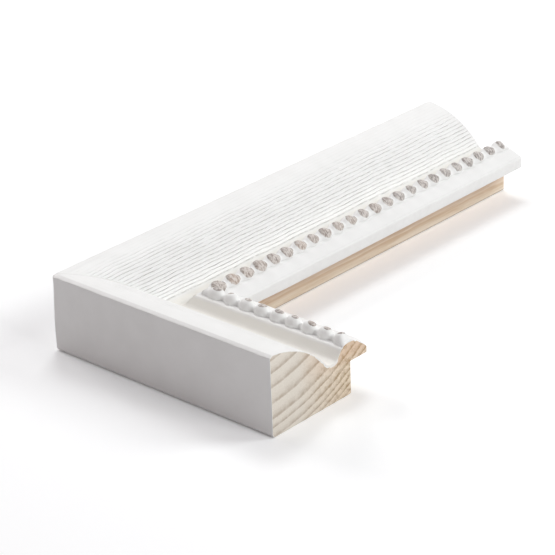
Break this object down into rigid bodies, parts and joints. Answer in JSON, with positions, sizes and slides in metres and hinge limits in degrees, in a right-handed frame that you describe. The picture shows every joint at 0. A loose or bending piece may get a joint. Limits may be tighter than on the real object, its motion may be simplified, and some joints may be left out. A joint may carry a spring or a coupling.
{
  "type": "picture frame moulding",
  "caption": "Mitred corner sample of white picture frame moulding: reeded swell, cove, beaded sight edge and a rebate behind it.",
  "frame": {"origin": "middle of the part's bounding box, on the floor that its back lies on", "axes": "+X along the short leg and +Y along the long leg, both away from the mitred corner; +Z from the back to the face"},
  "size_m": [0.1076, 0.2208, 0.0312],
  "materials": {
    "short_leg_pine": "white painted gesso over pine, satin",
    "long_leg_pine": "white painted gesso over pine, satin"
  },
  "bodies": {
    "root": {"short_leg": "short_leg_pine", "long_leg": "long_leg_pine"}
  },
  "joints": []
}
